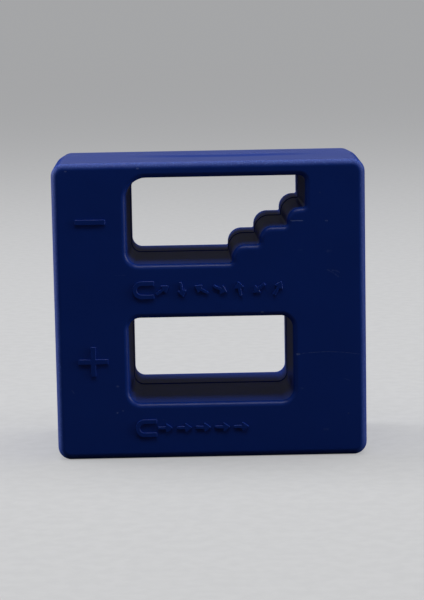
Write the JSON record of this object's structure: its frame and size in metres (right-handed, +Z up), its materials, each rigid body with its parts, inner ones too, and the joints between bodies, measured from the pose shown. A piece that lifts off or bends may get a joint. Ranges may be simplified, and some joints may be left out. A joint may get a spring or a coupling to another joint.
{
  "type": "demagnetizer",
  "caption": "Pocket block that magnetizes and demagnetizes small steel tools: moulded half shells with a plain window and a stepped window, and a ferrite magnet in each side column.",
  "frame": {"origin": "middle of the base, halfway between the raised marks on the front and the back face", "axes": "+X to the right of the marked face, -Y out of the marked face, +Z up"},
  "size_m": [0.0524, 0.0282, 0.0501],
  "materials": {
    "shell_plastic": "satin royal blue ABS, fine moulded surface, lightly scuffed",
    "ferrite": "dark grey sintered ferrite, ground faces",
    "foam": "dark grey closed-cell foam, matte"
  },
  "bodies": {
    "root": {"front_shell": "shell_plastic", "rear_shell": "shell_plastic", "left_magnet": "ferrite", "right_magnet": "ferrite", "left_magnet_pad": "foam", "right_magnet_pad": "foam"}
  },
  "joints": []
}
